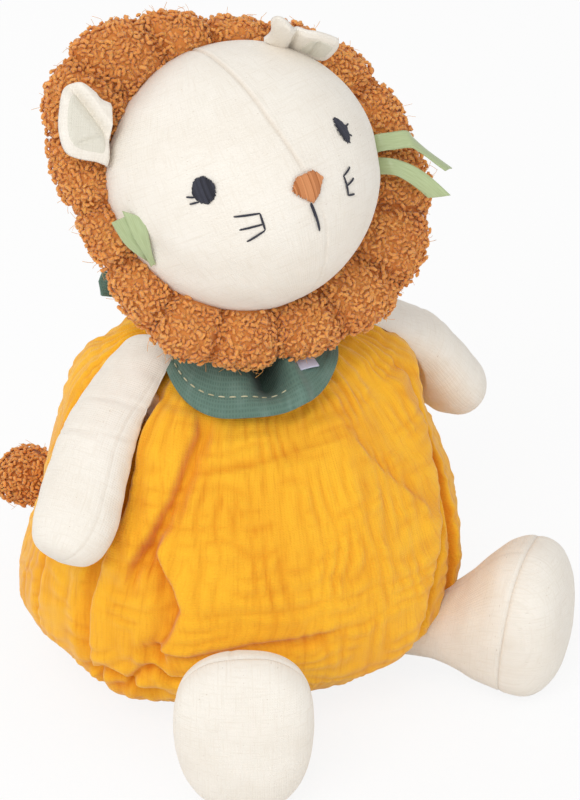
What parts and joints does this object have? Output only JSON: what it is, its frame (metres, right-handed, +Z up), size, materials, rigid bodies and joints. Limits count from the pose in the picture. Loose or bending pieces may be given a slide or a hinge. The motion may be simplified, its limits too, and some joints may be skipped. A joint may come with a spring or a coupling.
{
  "type": "plush lion",
  "caption": "Seated stuffed lion with a boucle mane, gauze romper, neckerchief, side ribbons and soft arms, legs, ears and tail that flex and spring back.",
  "frame": {"origin": "centre of the flat underside of the seat, on the plane that the lion sits on", "axes": "+Z up; the body faces -Y; the lion's left side is +X"},
  "size_m": [0.2053, 0.2171, 0.2537],
  "materials": {
    "linen": "matte linen-look weave with small beige flecks",
    "ear_lining": "matte smooth cotton",
    "boucle": "curly looped pile",
    "gauze": "crinkled double gauze",
    "canvas": "matte plain weave with a running stitch",
    "satin": "satin ribbon with a soft sheen",
    "dark_thread": "embroidery thread",
    "nose_thread": "satin-stitched thread",
    "stuffing": "loose fibre",
    "tab": "plain woven tape"
  },
  "bodies": {
    "body": {"romper": "gauze", "body_cover": "linen", "body_filling": "stuffing", "pellet_bag": "linen", "neckerchief": "canvas", "kerchief_knot": "canvas", "kerchief_end_right": "canvas", "kerchief_end_left": "canvas", "hem_tab": "tab"},
    "neck": {"neck": "linen"},
    "head": {"head_cover": "linen", "head_filling": "stuffing", "mane": "boucle", "eye_right": "dark_thread", "eye_left": "dark_thread", "nose": "nose_thread", "mouth": "dark_thread", "whiskers_right": "dark_thread", "whiskers_left": "dark_thread", "ribbon_right_upper": "satin", "ribbon_right_lower": "satin", "ribbon_left_upper": "satin", "ribbon_left_lower": "satin"},
    "ear_right": {"ear_right": "linen", "ear_lining_right": "ear_lining"},
    "arm_right": {"arm_right": "linen", "arm_filling_right": "stuffing"},
    "leg_right": {"leg_right": "linen", "leg_filling_right": "stuffing", "sole_right": "linen"},
    "ear_left": {"ear_left": "linen", "ear_lining_left": "ear_lining"},
    "arm_left": {"arm_left": "linen", "arm_filling_left": "stuffing"},
    "leg_left": {"leg_left": "linen", "leg_filling_left": "stuffing", "sole_left": "linen"},
    "tail": {"tail": "linen", "tail_tuft": "boucle"}
  },
  "joints": [
    {"name": "neck_turn", "type": "hinge", "parent": "body", "child": "neck", "pos_m": [-0.001, -0.005, 0.141], "axis": [0, 0, 1], "range_deg": [-20, 20], "stiffness_Nm_per_rad": 0.3},
    {"name": "head_nod", "type": "hinge", "parent": "neck", "child": "head", "pos_m": [-0.001, -0.005, 0.141], "axis": [1, 0, 0], "range_deg": [-18, 3], "stiffness_Nm_per_rad": 0.4},
    {"name": "ear_right_fold", "type": "hinge", "parent": "head", "child": "ear_right", "pos_m": [-0.05157, -0.00668, 0.21665], "axis": [0.3129, 0.3453, 0.8848], "range_deg": [-12, 40], "stiffness_Nm_per_rad": 0.01},
    {"name": "arm_right_swing", "type": "hinge", "parent": "body", "child": "arm_right", "pos_m": [-0.0515, -0.0085, 0.117], "axis": [-0.6852, 0.0276, 0.7278], "range_deg": [-16, 60], "stiffness_Nm_per_rad": 0.15},
    {"name": "leg_right_swing", "type": "hinge", "parent": "body", "child": "leg_right", "pos_m": [-0.039, -0.057, 0.02], "axis": [-0.8241, 0.5664, 0], "range_deg": [-18, 14], "stiffness_Nm_per_rad": 0.2},
    {"name": "ear_left_fold", "type": "hinge", "parent": "head", "child": "ear_left", "pos_m": [0.00962, -0.02238, 0.23703], "axis": [0.8457, -0.3928, -0.3614], "range_deg": [-12, 40], "stiffness_Nm_per_rad": 0.01},
    {"name": "arm_left_swing", "type": "hinge", "parent": "body", "child": "arm_left", "pos_m": [0.0515, -0.0085, 0.117], "axis": [-0.6626, -0.0011, -0.749], "range_deg": [-16, 60], "stiffness_Nm_per_rad": 0.15},
    {"name": "leg_left_swing", "type": "hinge", "parent": "body", "child": "leg_left", "pos_m": [0.039, -0.057, 0.02], "axis": [-0.8241, -0.5664, 0], "range_deg": [-18, 14], "stiffness_Nm_per_rad": 0.2},
    {"name": "tail_swing", "type": "hinge", "parent": "body", "child": "tail", "pos_m": [-0.004, 0.0828, 0.04], "axis": [0, 0, -1], "range_deg": [0, 100], "stiffness_Nm_per_rad": 0.03}
  ]
}
